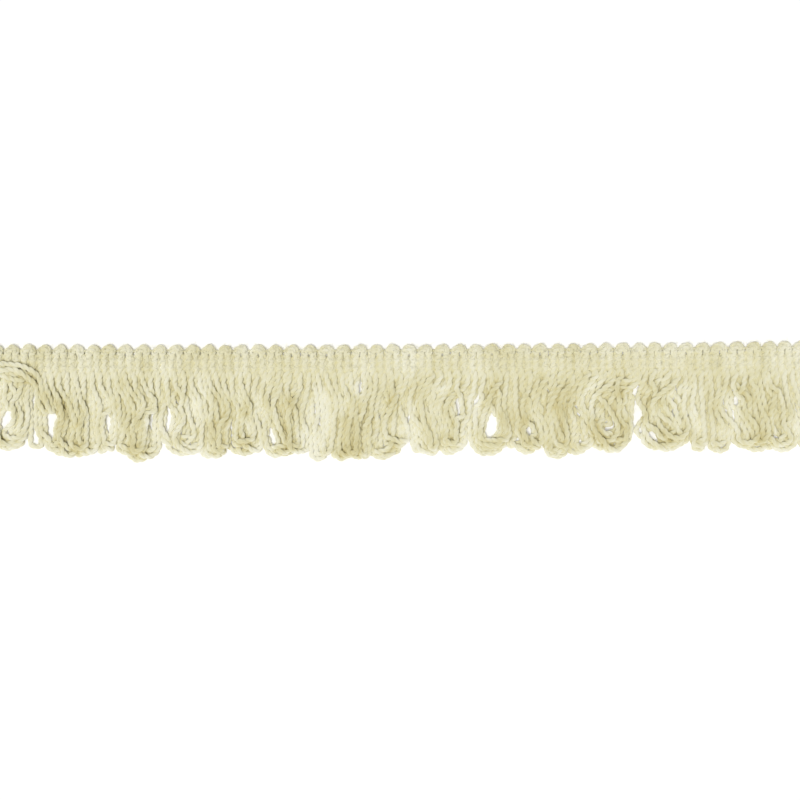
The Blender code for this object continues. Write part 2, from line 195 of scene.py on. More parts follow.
# Where the upper yarns have been drawn aside over the lower ones, how far along and down that reaches, and
# which end of yarn would stay
Sweep = namedtuple("Sweep", "x drop amount")
SWEEPS = (
    Sweep(-76.0, 17.0, 2.2),
    Sweep(-52.0, 18.0, 2.2),
    Sweep(-34.0, 17.0, -2.6),
    Sweep(-22.0, 17.0, 2.4),
    Sweep(8.0, 17.0, -2.2),
    Sweep(42.0, 17.0, -2.6),
    Sweep(56.0, 16.0, -2.8),
    Sweep(75.0, 17.0, -3.0),
    Sweep(96.0, 18.0, -3.0),
)
SWEEP_REACH = (6.5, 5.5)
SWEEP_MIDDLE = 0.7

# How the yarn lies down. It is drawn with slow waves, keeps a share of each parting open, and has points
# POINT_GAP apart, which push each other off inside TOUCH. In each of LIE_STEPS steps it falls, less each
# time, is pulled to its length, its curve and its place, and stays above the surface and the heading.
# Which points are near each other is looked up anew every PAIR_STEPS steps, as far as PAIR_SLACK beyond
# TOUCH, and not for NEIGHBOURS next to each other on one loop.
POINT_GAP = 0.7
OPEN_SHARE = 0.75
WAVE = 0.45
WAVE_POINTS = 8
TOUCH = 1.30
LIE_STEPS = 160
PAIR_STEPS = 10
PAIR_SLACK = 0.6
NEIGHBOURS = 3
FALL = 0.05
LENGTH_PULL = 0.3
SOFTNESS = 0.10
HOLD = 0.01
LOWEST = 0.80
OVER_HEADING = 3.6

# Twisted yarn: its plies of six sides wind round a common line, and each end is closed by two faces
TwistedYarn = namedtuple("TwistedYarn", "plies offset radius pitch step")
LOOP_YARN = TwistedYarn(2, 0.24, 0.59, 4.0, 0.42)
CHAIN_YARN = TwistedYarn(1, 0.0, 0.38, 2.4, 0.34)
BACK_YARN = TwistedYarn(1, 0.0, 0.45, 2.4, 0.45)
SIDES = 6
START_FACES = ((3, 2, 1, 0), (5, 4, 3, 0))
END_FACES = ((0, 1, 2, 3), (0, 3, 4, 5))

# Light and shade painted into the cotton's colour: it is painted paler where it lies thin, on top of the
# pile and on the ridges of its plies, and painted darker as shade where it lies thick, deep down and in the
# grooves
# between plies: the plan's cells, the layers that count as thick, the heading's openness, the depth below
# the top that counts as deep, how much each of the three makes of the painted light and shade, and how much
# of a ridge is its yarn's crown
TONE_CELL = 0.6
THICK_LAYERS = 3.2
HEADING_OPENNESS = 0.66
DEEP = 1.9
OPEN_LIGHT_WEIGHT = 0.30
TOP_LIGHT_WEIGHT = 0.22
RIDGE_HIGHLIGHT_WEIGHT = 0.10
CROWN_HIGHLIGHT_SHARE = 0.7

# The knitted heading, with one value for each end of yarn: its ribs, and the crests that they turn round
RIB_HEIGHTS = (1.3, 1.95, 1.4)
RIB_PLACES = (-0.72, 0.0, 0.72)
RIB_FOOT = 1
CREST_HEIGHTS = (1.1, 1.9, 1.5)
CREST_REACH = (1.2, 0.6, 0.95)
CREST_BASE = -2.15
CREST_RISE = 1.4
CREST_ANGLES = (180, 135, 90, 45, 0)
CREST_LEAN = 0.4
CREST_WANDER = 0.12
CREST_FOLLOW = 0.25

# The cut tails of yarn at the trim's two ends
TAIL = 1.3
TAIL_SHARES = (0.6, 1.4)
TAIL_RISE = 0.25

# The rows of chain stitches, with a stitch on each of a scallop's two ribs
RIB_SHARES = (0.25, 0.75)
CHAIN_ROWS = (-2.1, -4.0, -6.1)
CHAIN_HEIGHTS = (1.8, 1.75, 1.65)
CHAIN_HALF_WIDTH = 0.5
CHAIN_BULGE = 0.15
CHAIN_RIPPLE = 0.95
BACK_HEIGHT = 0.47
CHAIN_STEPS = 16

# Loose fibres: how thick and long, how far from the yarn's middle and how far round it they start, how much
# they run along, across and off it, and how they bend on the way. Each has two rings of points and a tip.
FIBRES = 18000
FIBRE_RADIUS = (0.02, 0.05)
FIBRE_LENGTH = (0.8, 2.2)
FIBRE_ROOT = 0.66
FIBRE_SIDE = 30
FIBRE_AHEAD = 0.8
FIBRE_SLANT = 0.5
FIBRE_LIFT = 0.15
FIBRE_BEND = 0.3
FIBRE_DROOP = 0.1
FIBRE_SIDES = 3
FIBRE_RINGS = (0, 0.5)
FIBRE_LOWEST = 0.02
FIBRE_GRAIN = 0.3

# The cotton: its colours in linear light with the tones where each is reached, its matt surface, and how
# much the fibres, a slow wandering and the painted light and shade make of the tone. The deepest and the
# palest colour serve both the cotton's own random tone and the painted shade and painted light. The fibres'
# noise is stretched along each ply and the slow one across the trim.
COTTON_SHADE_AND_DARK_TONE = (0.655, 0.585, 0.285, 1.0)
COTTON = (0.78, 0.745, 0.505, 1.0)
COTTON_LIGHT_AND_PALE_TONE = (0.89, 0.875, 0.74, 1.0)
DEEP_TONE = 0.44
MIDDLE_TONE = 0.68
PALE_TONE = 0.92
COTTON_SURFACE = {
    "Roughness": 0.85,
    "Specular IOR Level": 0.2,
    "Diffuse Roughness": 1.0,
    "Sheen Weight": 0.15,
    "Sheen Roughness": 0.5,
}
Grain = namedtuple("Grain", "stretch scale detail share")
FIBRE_NOISE = Grain((0.7, 7.0, 7.0), 1.6, 4.0, 0.14)
SLOW_NOISE = Grain((1.0, 0.5, 1.0), 160.0, 2.0, 0.48)
PAINTED_LIGHT_AND_SHADE_SHARE = 1.0
LOOP_RELIEF = 0.35
HEADING_RELIEF = 0.3
RELIEF_DEPTH = 0.06

# The floor and the studio, in metres and watts
FLOOR_COLOUR = (0.95, 0.95, 0.945, 1.0)
FLOOR_ROUGHNESS = 0.9
FLOOR_GLOW = 0.13
FLOOR_HALF = 3.0
FLOOR_BELOW = 0.0001
WHITE = (1.0, 1.0, 1.0, 1.0)
WORLD_STRENGTH = 0.30
KEY_PLACE = (-0.3, -0.35, 3.0)
KEY_SIZE = 1.0
KEY_POWER = 63.8

# The picture: what it shows across, its centre on the part, its roll, and the lens
VIEW_WIDTH = 226.8
VIEW_CENTRE = (0.17, -15.56, 0.0)
VIEW_ROLL = -0.0041
LENS = 100
SENSOR = 36
FARTHEST = 10


def bow(x):
    """How far the trim's line has bent up at this place."""
    return BOW * (2 * x / LENGTH) ** 2


def scallop_ends():
    """Where each scallop begins along the trim, with the end of the last one."""
    rng = np.random.default_rng(SEED)
    widths = PITCH * (1 + UNEVEN_PITCH * rng.uniform(-1, 1, SCALLOPS))
    ends = np.concatenate([[0], np.cumsum(widths)])
    return (ends / ends[-1] - 0.5) * LENGTH


def smooth_curve(points, steps=CURVE_STEPS):
    """A Catmull-Rom curve through the points, with this many steps between two of them."""
    points = np.asarray(points, float)
    before = 2 * points[0] - points[1]
    after = 2 * points[-1] - points[-2]
    p = np.vstack([before, points, after])
    t = np.linspace(0, 1, steps, endpoint=False)[:, None]
    spans = []
    for a, b, c, d in zip(p[:-3], p[1:-2], p[2:-1], p[3:]):
        straight = 2 * b + (c - a) * t
        bend = (2 * a - 5 * b + 4 * c - d) * t**2 + (3 * b - a - 3 * c + d) * t**3
        spans.append(0.5 * (straight + bend))
    return np.vstack(spans + [points[-1:]])


def part_strands(curve):
    """The curve pushed aside round each parting, so that an open lens is left there."""
    curve = curve.copy()
    lowest = int(np.argmin(curve[:, 1]))
    for leg in (curve[:lowest], curve[lowest:]):
        for place in PARTINGS:
            down = -leg[:, 1] - place.drop
            along = down / place.half_length
            if np.abs(along).min() > 1:
                continue
            across = leg[:, 0] - place.x - place.lean * down
            side = 1.0 if across[np.argmin(np.abs(along))] > 0 else -1.0
            open_by = (place.half_width + YARN / 2) * np.clip(1 - along**2, 0, 1)
            fade = np.clip(1 - np.abs(across) / (place.half_width + PARTING_REACH), 0, 1)
            leg[:, 0] += side * open_by * fade
    return curve


def lower_edge(bundle, x):
    """Y of the bundle's lower edge at this place."""
    tip = bundle.left + bundle.tip * (bundle.right - bundle.left)
    if x < tip:
        share = (tip - x) / (tip - bundle.left)
        return -bundle.drop_tip + (bundle.drop_tip - bundle.drop_left) * share**2
    share = (x - tip) / (bundle.right - tip)
    return -bundle.drop_tip + (bundle.drop_tip - bundle.drop_right) * share**2


def loop_route(bundle, order, count, nest_share, roots, rng):
    """Control points of one loop, down from its left root, round its tip and up to its right root."""
    wide = bundle.right - bundle.left - YARN
    along = np.clip(order / (count - 1) + rng.normal(0, STRAY), 0, 1)
    inset = NEST_INSET * bundle.nest * nest_share
    left = bundle.left + YARN / 2 + along * (1 - bundle.breadth) * wide + inset
    right = left + bundle.breadth * wide - 2 * inset
    half = max((right - left) / 2, NARROWEST_LOOP)
    middle = (left + right) / 2
    tip = lower_edge(bundle, middle) + bundle.nest * nest_share + YARN / 2
    round_off = min(half * rng.uniform(*TIP_STRETCH), LONGEST_TIP)
    fall = (bundle.drop_left - bundle.drop_right) * half / wide
    slope = TIP_SLOPE * fall + rng.normal(0, SLOPE_WANDER)
    depth = STRIP_FRONT - tip

    def leg(root, side):
        shoulder = middle + side * half
        high = np.array([root, STRIP_FRONT - STEER_HIGH * depth])
        low = np.array([root + GONE_ASIDE * (shoulder - root), STRIP_FRONT - STEER_LOW * depth])
        return [
            high + rng.normal(0, ROOT_WANDER),
            low + rng.normal(0, LEG_WANDER),
            (shoulder + rng.normal(0, SIDE_WANDER), tip + round_off + side * slope),
            (middle + side * ROUND_WIDTH * half, tip + ROUND_RISE * round_off + side * slope / 2),
        ]

    root_left, root_right = roots
    down = leg(root_left, -1)
    up = leg(root_right, 1)
    inside = STRIP_FRONT + ROOT_INSIDE
    return [(root_left, inside), *down, (middle, tip), *reversed(up), (root_right, inside)]


def flipped_route(end, roots):
    """Control points of a loop that has turned back up over the heading, towards the left."""
    middle = sum(roots) / 2
    way = np.array([(middle + turn.across, -turn.drop) for turn in FLIPPED_TURNS])
    along = np.gradient(way, axis=0)
    along /= np.linalg.norm(along, axis=1)[:, None]
    inward = np.column_stack([along[:, 1], -along[:, 0]])
    nest = FLIPPED_SPACING * (ENDS - 1 - end) * np.array([turn.nest for turn in FLIPPED_TURNS])
    way += nest[:, None] * inward
    inside = STRIP_FRONT + ROOT_INSIDE
    left, right = roots
    return [(left, inside), *way, (right, inside)]


Loop = namedtuple("Loop", "layer curve end flipped valley")


def loop_routes():
    """Every loop with its parted plan curve, lowest first."""
    rng = np.random.default_rng(SEED)
    edges = scallop_ends()
    tops = (edges[:-1] + edges[1:]) / 2
    valley = 0
    found = []
    for bundle in BUNDLES:
        count = bundle.valleys * ENDS
        rows = [rng.permutation(bundle.valleys) for _ in range(ENDS)]
        for order in range(count):
            end = order % ENDS
            place = valley + order // ENDS
            dip = edges[place + 1]
            share = (2 * end + 1) / (2 * ENDS)
            roots = (tops[place] + share * (dip - tops[place]), dip + share * (tops[place + 1] - dip))
            flipped = place == FLIPPED_VALLEY and end > 0
            nest_share = (rows[end][order // ENDS] + end / ENDS) / bundle.valleys
            route = loop_route(bundle, order, count, nest_share, roots, rng)
            if flipped:
                curve = smooth_curve(flipped_route(end, roots))
            else:
                curve = part_strands(smooth_curve(route))
            curve[:, 1] += bow(curve[:, 0])
            layer = ENDS if flipped else end + rng.random()
            found.append(Loop(layer, curve, end, flipped, place))
        valley += bundle.valleys
    return sorted(found, key=lambda loop: loop.layer)


class Pile:
    """Which heights are taken by the strands already laid, over each cell of the plan."""

    def __init__(self):
        self.corner = np.array([-LENGTH / 2 - PILE_MARGIN, STRIP_FRONT - PILE_DEPTH])
        size = np.array([LENGTH + 2 * PILE_MARGIN, PILE_DEPTH - STRIP_FRONT + PILE_MARGIN])
        cells = np.ceil(size / CELL).astype(int)
        self.taken = np.zeros((*cells, LEVELS), bool)
        reach = 2 * STRAND_HALF_WIDTH + CLEARANCE + CELL / 2
        span = int(np.ceil(reach / CELL))
        gx, gy = np.mgrid[-span:span + 1, -span:span + 1]
        away = np.hypot(gx, gy) * CELL
        near = away < reach
        self.offsets = np.stack([gx[near], gy[near]], axis=1)
        self.apart = CLEARANCE + STRAND_HEIGHT * np.clip((reach - away[near]) / STRAND_HALF_WIDTH, 0, 1)

    def cells(self, plan):
        """The cell of each place."""
        return np.round((plan - self.corner) / CELL).astype(int)

    def over(self, plan):
        """The taken levels at each place."""
        ij = self.cells(plan)
        return self.taken[ij[:, 0], ij[:, 1]]

    def add(self, plan, height):
        """Takes the levels round a strand with these places and heights."""
        ij = (self.cells(plan)[:, None] + self.offsets).reshape(-1, 2)
        low = level_of(height[:, None] - self.apart).ravel()
        high = level_of(height[:, None] + self.apart).ravel()
        for step in range((high - low).max() + 1):
            level = low + step
            inside = (level >= 0) & (level <= np.minimum(high, LEVELS - 1))
            self.taken[ij[inside, 0], ij[inside, 1], level[inside]] = True


def level_of(height):
    """The pile's level at this height."""
    return np.round((height - STRAND_REST) / LEVEL).astype(int)


def span_between(a, b, flipped, at_root, pile):
    """Shares along this straight stretch, its places, and the levels taken at each of them."""
    steps = max(int(np.linalg.norm(b - a) / SAMPLE), FEWEST_SAMPLES)
    t = (np.arange(steps) + 0.5) / steps
    places = a + (b - a) * t[:, None]
    covered = places[:, 1] - bow(places[:, 0]) > STRIP_FRONT - STRAND_HALF_WIDTH
    taken = pile.over(places)
    if flipped and not at_root:
        taken[covered, :level_of(CROWN_THICK + STRIP_GAP + STRAND_REST)] = True
    if at_root:
        inside = places[:, 1] - bow(places[:, 0]) > STRIP_FRONT
        taken[inside] = False
    return t, places, taken


def settle(plan, root_height, flipped, pile):
    """Heights of the strand's points, so that it lies low and straight and clears those already laid."""
    last = len(plan) - 2
    heights = STRAND_REST + LEVEL * np.arange(LEVELS)
    root = level_of(np.array(root_height))
    cost = np.full(LEVELS, np.inf)
    cost[root] = 0
    came_from = []
    spans = []
    for k in range(last + 1):
        span = span_between(plan[k], plan[k + 1], flipped, k in (0, last), pile)
        t, _, taken = span
        line = heights[:, None, None] * (1 - t) + heights[None, :, None] * t
        blocked = taken[np.arange(len(t)), level_of(line)].any(axis=2)
        length = np.linalg.norm(plan[k + 1] - plan[k])
        climb = (heights[None, :] - heights[:, None]) ** 2 / length
        step = STEEP_COST * climb + heights[None, :] * length
        total = cost[:, None] + np.where(blocked, BLOCKED_COST, step)
        came_from.append(total.argmin(axis=0))
        cost = total.min(axis=0)
        spans.append(span)
    level = root
    levels = [level]
    for back in reversed(came_from):
        level = back[level]
        levels.append(level)
    z = heights[np.array(levels[::-1])]
    for k, (t, places, _) in enumerate(spans):
        pile.add(places, (1 - t) * z[k] + t * z[k + 1])
    return z


def resample(path, gap):
    """The path with points this far apart along it, or a little less, so that both its ends stay."""
    along = np.concatenate([[0], np.cumsum(np.linalg.norm(np.diff(path, axis=0), axis=1))])
    count = max(int(np.ceil(along[-1] / gap)), 2)
    at = np.linspace(0, along[-1], count + 1)
    return np.column_stack([np.interp(at, along, path[:, k]) for k in range(3)])


def waves(count, rng):
    """Slow sideways waves for a yarn of this many points, none at its two ends."""
    knots = rng.normal(0, WAVE, (count // WAVE_POINTS + 2, 2))
    at = np.arange(count) / WAVE_POINTS
    fade = np.sin(np.pi * np.arange(count) / (count - 1)) ** 0.5
    slow = smooth_curve(knots, WAVE_POINTS)
    index = np.minimum(np.round(at * WAVE_POINTS).astype(int), len(slow) - 1)
    return np.column_stack([slow[index] * fade[:, None], np.zeros(count)])


def keep_open(path):
    """The yarn moved out of the middle of each parting that it has come into."""
    path = path.copy()
    down = bow(path[:, 0]) - path[:, 1]
    for place in PARTINGS:
        below = down - place.drop
        across = path[:, 0] - place.x - place.lean * below
        share = np.clip(1 - (below / (OPEN_SHARE * place.half_length)) ** 2, 0, 1)
        half = OPEN_SHARE * place.half_width * np.sqrt(share)
        short = np.where(half > 0, half + YARN / 2 - np.abs(across), 0)
        path[:, 0] += np.sign(across) * np.clip(short, 0, None)
    return path


def combed(path, end):
    """The yarn drawn aside at each sweep, an upper end to the one side and a lower to the other."""
    path = path.copy()
    down = bow(path[:, 0]) - path[:, 1]
    shift = np.zeros(len(path))
    for place in SWEEPS:
        off = np.column_stack([path[:, 0] - place.x, down - place.drop]) / SWEEP_REACH
        shift += place.amount * np.exp(-(off**2).sum(axis=1))
    path[:, 0] += shift * (end - SWEEP_MIDDLE)
    return path


def laid_loops():
    """Each loop by its dip and end of yarn: on the solids' strand, but smooth, waved and drawn aside."""
    pile = Pile()
    rng = np.random.default_rng(SEED)
    found = {}
    for loop in loop_routes():
        z = settle(loop.curve[::CURVE_STEPS], ROOT_HEIGHTS[loop.end], loop.flipped, pile)
        z[[0, -1]] = RIB_HEIGHTS[loop.end]
        path = resample(np.column_stack([loop.curve, smooth_curve(z[:, None])]), POINT_GAP)
        path += waves(len(path), rng)
        if loop.flipped:
            way = np.clip(np.linspace(*RISE_SPAN, len(path)), 0, 1)
            path[:, 2] += FLIPPED_RISE * np.sin(np.pi * way)
        else:
            path = keep_open(combed(path, loop.end))
        found[loop.valley, loop.end] = path
    return found


def near_pairs(points, chain, reach):
    """Pairs of points of the yarn nearer than this, without neighbours on the same loop."""
    cell = np.floor(points[:, :2] / reach).astype(int)
    cell -= cell.min(axis=0) - 1
    width = cell[:, 1].max() + 2
    key = cell[:, 0] * width + cell[:, 1]
    order = np.argsort(key, kind="stable")
    ordered = key[order]
    found = []
    for step in (0, 1, width - 1, width, width + 1):
        low = np.searchsorted(ordered, key + step, "left")
        count = np.searchsorted(ordered, key + step, "right") - low
        a = np.repeat(np.arange(len(points)), count)
        skip = np.repeat(np.cumsum(count) - count - low, count)
        b = order[np.arange(count.sum()) - skip]
        if step == 0:
            a, b = a[a < b], b[a < b]
        found.append(np.stack([a, b]))
    a, b = np.hstack(found)
    beside = (chain[a] == chain[b]) & (np.abs(a - b) <= NEIGHBOURS)
    near = np.linalg.norm(points[b] - points[a], axis=1) < reach
    return a[near & ~beside], b[near & ~beside]


def spread(index, moves, count):
    """The sum of the moves of each point."""
    return np.column_stack([np.bincount(index, moves[:, k], count) for k in range(3)])


def bent(points, inner):
    """How far each of these points lies off the middle of its two neighbours."""
    return (points[inner - 1] + points[inner + 1]) / 2 - points[inner]


def lie_down(loops):
    """Lets the loops come to rest on the surface and on each other, each near its place."""
    points = np.vstack(list(loops.values()))
    sizes = [len(path) for path in loops.values()]
    chain = np.repeat(np.arange(len(sizes)), sizes)
    count = len(points)
    start = points.copy()
    linked = np.flatnonzero(chain[1:] == chain[:-1])
    rest = np.linalg.norm(points[linked + 1] - points[linked], axis=1)
    inner = linked[1:][np.diff(linked) == 1]
    shape = bent(points, inner) * (1, 1, 0)
    first = np.cumsum([0, *sizes[:-1]])
    last = np.cumsum(sizes) - 1
    fixed = np.concatenate([first, first + 1, last - 1, last])
    over = points[:, 1] - bow(points[:, 0]) > STRIP_FRONT
    over[fixed] = False
    hanging = np.repeat([valley != FLIPPED_VALLEY or end == 0 for valley, end in loops], sizes)
    for step in range(LIE_STEPS):
        if step % PAIR_STEPS == 0:
            points[hanging] = keep_open(points[hanging])
            a, b = near_pairs(points, chain, TOUCH + PAIR_SLACK)
        gap = points[b] - points[a]
        apart = np.maximum(np.linalg.norm(gap, axis=1), 1e-6)
        press = np.clip(TOUCH - apart, 0, None) / (2 * apart)
        push = gap * press[:, None]
        crowd = np.bincount(a, press > 0, count) + np.bincount(b, press > 0, count)
        move = spread(b, push, count) - spread(a, push, count)
        points += move / np.sqrt(np.maximum(crowd, 1))[:, None]
        link = points[linked + 1] - points[linked]
        length = np.linalg.norm(link, axis=1)
        pull = link * (LENGTH_PULL * (length - rest) / length)[:, None]
        points[linked] += pull
        points[linked + 1] -= pull
        points[inner] += SOFTNESS * (bent(points, inner) - shape)
        points[:, :2] += HOLD * (start[:, :2] - points[:, :2])
        points[:, 2] -= FALL * (1 - step / LIE_STEPS)
        points[:, 2] = np.maximum(points[:, 2], np.where(over, OVER_HEADING, LOWEST))
        points[fixed] = start[fixed]
    return dict(zip(loops, np.split(points, last[:-1] + 1)))


def rib_turn(k, end, edges, rng):
    """One end of yarn up a rib of the heading, round the crest of scallop k and down the next rib."""
    start, stop = edges[k], edges[k + 1]
    half = (stop - start) / 2
    top = start + half
    share = (2 * end + 1) / (2 * ENDS)
    foot = STRIP_FRONT + ROOT_INSIDE
    off = RIB_PLACES[end]
    rib = RIB_HEIGHTS[end]
    crest = CREST_HEIGHTS[end]
    wander = rng.uniform(-CREST_WANDER, CREST_WANDER, 2)
    points = [
        (start + share * half, foot, rib),
        (start + half / 2 + off, -HEADING_DEPTH + RIB_FOOT, rib),
        (start + half / 2 + off, (CREST_BASE - HEADING_DEPTH) / 2, rib),
    ]
    reach = CREST_REACH[end]
    for angle in np.radians(CREST_ANGLES):
        x = top + CREST_FOLLOW * off + reach * half / 2 * math.cos(angle) + wander[0]
        rise = reach * CREST_RISE * math.sin(angle)
        lean = CREST_LEAN * math.sin(angle)
        height = rib + (crest - rib) * math.sin(angle)
        points.append((x + lean, CREST_BASE + rise + wander[1] * math.sin(angle), height))
    points += [
        (top + half / 2 + off, (CREST_BASE - HEADING_DEPTH) / 2, rib),
        (top + half / 2 + off, -HEADING_DEPTH + RIB_FOOT, rib),
        (top + share * half, foot, rib),
    ]
    tail_height = LOWEST + TAIL_RISE * rib
    if k == 0:
        tail = foot - TAIL * (TAIL_SHARES[0] + share)
        points.insert(0, (start + share * half, tail, tail_height))
    if k == SCALLOPS - 1:
        tail = foot - TAIL * (TAIL_SHARES[1] - share)
        points.append((top + share * half, tail, tail_height))
    path = smooth_curve(points)
    path[:, 1] += bow(path[:, 0])
    return path


def yarn_end(end, loops, edges):
    """The whole way of one end of yarn: up, round and down at each scallop, with a loop at each dip."""
    rng = np.random.default_rng(SEED + end)
    way = []
    for k in range(SCALLOPS):
        way.append(rib_turn(k, end, edges, rng)[:-1])
        if k < SCALLOPS - 1:
            way.append(smooth_curve(loops[k, end], LOOP_STEPS)[:-1])
    return np.vstack(way)


def chain_row(row, height, ripple, edges):
    """A row of chain stitches along the heading, with the head of a stitch on each rib."""
    turns = np.arange(0, 2 * SCALLOPS * CHAIN_STEPS + 1) / CHAIN_STEPS
    ribs = (edges[:-1, None] + np.diff(edges)[:, None] * np.array(RIB_SHARES)).ravel()
    along = np.interp(turns, np.arange(2 * SCALLOPS) + 0.5, ribs)
    phase = 2 * math.pi * (turns - 0.5)
    x = along + CHAIN_BULGE * np.sin(2 * phase)
    y = row + bow(x) - CHAIN_HALF_WIDTH * np.cos(phase)
    z = height + ripple * np.cos(phase)
    return np.column_stack([x, y, z])


def along_and_across(path):
    """Distance along the path, its direction, and two directions across it, sideways and upwards."""
    steps = np.linalg.norm(np.diff(path, axis=0), axis=1)
    along = np.concatenate([[0], np.cumsum(steps)])
    ahead = np.gradient(path, axis=0)
    ahead /= np.linalg.norm(ahead, axis=1)[:, None]
    side = np.cross(ahead, (0, 0, 1))
    side /= np.linalg.norm(side, axis=1)[:, None]
    return along, ahead, side, np.cross(side, ahead)


class Lie:
    """How many layers of yarn lie over each place of the plan, and how high the top one is."""

    def __init__(self, paths):
        points = np.vstack([resample(path, TONE_CELL) for path in paths])
        self.corner = points[:, :2].min(axis=0) - 2 * TONE_CELL
        at = self.cells(points)
        layers = np.zeros(at.max(axis=0) + 3)
        np.add.at(layers, (at[:, 0], at[:, 1]), YARN / TONE_CELL)
        top = np.zeros(layers.shape)
        np.maximum.at(top, (at[:, 0], at[:, 1]), points[:, 2])
        for axis in (0, 1):
            top = np.max([np.roll(top, step, axis) for step in (-1, 0, 1)], axis=0)
        for axis in (0, 1, 0, 1):
            layers = sum(np.roll(layers, step, axis) for step in (-1, 0, 1)) / 3
            top = sum(np.roll(top, step, axis) for step in (-1, 0, 1)) / 3
        self.layers = layers
        self.top = top

    def cells(self, points):
        """The cell of each point."""
        return np.round((points[:, :2] - self.corner) / TONE_CELL).astype(int)

    def painted_light_and_shade(self, points, ridge):
        """Painted light and shade at each of these points, with the share of a ply's ridge at each: paler
        where the pile is thin, near its top and on a ridge, darker as painted shade where it is thick, deep
        or in a groove.
        """
        at = np.clip(self.cells(points), 0, np.array(self.layers.shape) - 1)
        thick = self.layers[at[:, 0], at[:, 1]]
        loose = np.clip((THICK_LAYERS - thick) / (THICK_LAYERS - 1), 0, 1)
        down = bow(points[:, 0]) - points[:, 1]
        below = np.clip((down + STRIP_TOP) / HEADING_DEPTH, 0, 1)
        openness = loose * below + HEADING_OPENNESS * (1 - below)
        deep = self.top[at[:, 0], at[:, 1]] + YARN / 2 - points[:, 2]
        near_top = np.clip(1 - deep / DEEP, 0, 1)
        # Painted light where the pile is thin, near the top and on ridges; painted shade where it is thick,
        # deep and in grooves
        return OPEN_LIGHT_WEIGHT * openness + TOP_LIGHT_WEIGHT * near_top + RIDGE_HIGHLIGHT_WEIGHT * ridge


def twist(path, yarn):
    """Points, four-sided faces, fibre coordinates and ridges of the yarn's plies, wound round the path; a
    ridge share is high on the yarn's top and a ply's outer side, for a painted highlight, and low in the
    grooves between plies, for painted shade.
    """
    path = resample(path, yarn.step)
    along, _, side, up = along_and_across(path)
    rings = len(path)
    corner = 2 * math.pi * np.arange(SIDES) / SIDES
    points, faces, fibre, ridge = [], [], [], []
    for ply in range(yarn.plies):
        turn = 2 * math.pi * (ply / yarn.plies - along / yarn.pitch)
        middle = path + yarn.offset * (np.cos(turn)[:, None] * side + np.sin(turn)[:, None] * up)
        angle = turn[:, None] + corner
        around = np.cos(angle)[..., None] * side[:, None] + np.sin(angle)[..., None] * up[:, None]
        points.append((middle[:, None] + yarn.radius * around).reshape(-1, 3))
        # The ridge share: painted highlight on the yarn's top above its middle line and on each ply's outer
        # side, painted shade in the grooves between plies
        above = (points[-1][:, 2] - np.repeat(path[:, 2], SIDES)) / (yarn.offset + yarn.radius)
        outside = np.tile((1 + np.cos(corner)) / 2, rings)
        ridge.append(CROWN_HIGHLIGHT_SHARE * np.clip(above, 0, 1) + (1 - CROWN_HIGHLIGHT_SHARE) * outside)
        first = ply * rings * SIDES
        a = first + np.arange(rings - 1)[:, None] * SIDES + np.arange(SIDES)
        b = first + np.arange(rings - 1)[:, None] * SIDES + (np.arange(SIDES) + 1) % SIDES
        faces.append(np.stack([a, b, b + SIDES, a + SIDES], axis=-1).reshape(-1, 4))
        end = first + (rings - 1) * SIDES
        faces.append(np.array(START_FACES) + first)
        faces.append(np.array(END_FACES) + end)
        ring = np.column_stack([np.cos(corner), np.sin(corner)]) * yarn.radius
        length = np.repeat(along + ply * LENGTH, SIDES)
        fibre.append(np.column_stack([length, np.tile(ring, (rings, 1))]))
    return np.vstack(points), np.vstack(faces), np.vstack(fibre), np.concatenate(ridge)


def place_over_solids(points):
    """Points in metres in the part's frame: the heading's solid gives where the trim's middle lies."""
    low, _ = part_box("heading")
    shift = np.array([low.x + MM * LENGTH / 2, low.y + MM * HEADING_DEPTH, 0])
    return points * MM + shift


def make_piece(name, points, faces, fibre, ridge, lie, material, slot, nodes=()):
    """A smooth mesh of these points and faces, which rides on the trim."""
    mesh = bpy.data.meshes.new(name)
    corners = faces.shape[1]
    mesh.vertices.add(len(points))
    mesh.vertices.foreach_set("co", place_over_solids(points).ravel())
    mesh.loops.add(faces.size)
    mesh.loops.foreach_set("vertex_index", faces.ravel())
    mesh.polygons.add(len(faces))
    mesh.polygons.foreach_set("loop_start", np.arange(0, faces.size, corners))
    mesh.update(calc_edges=True)
    mesh.shade_smooth()
    stored = mesh.attributes.new("fibre", "FLOAT_VECTOR", "POINT")
    stored.data.foreach_set("vector", fibre.ravel())
    # The painted light and shade for the cotton's colour, stored on each point
    stored = mesh.attributes.new("painted_light_and_shade", "FLOAT", "POINT")
    stored.data.foreach_set("value", lie.painted_light_and_shade(points, ridge))
    mesh.materials.append(material)
    piece = bpy.data.objects.new(name, mesh)
    bpy.context.scene.collection.objects.link(piece)
    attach(piece, "root")
    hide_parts(*nodes)


def join(parts):
    """Several sets of points, faces, fibre coordinates and ridge shares of the painted highlight as one."""
    points, faces, fibre, ridge = [], [], [], []
    count = 0
    for some_points, some_faces, some_fibre, some_ridge in parts:
        points.append(some_points)
        faces.append(some_faces + count)
        fibre.append(some_fibre)
        ridge.append(some_ridge)
        count += len(some_points)
    return np.vstack(points), np.vstack(faces), np.vstack(fibre), np.concatenate(ridge)


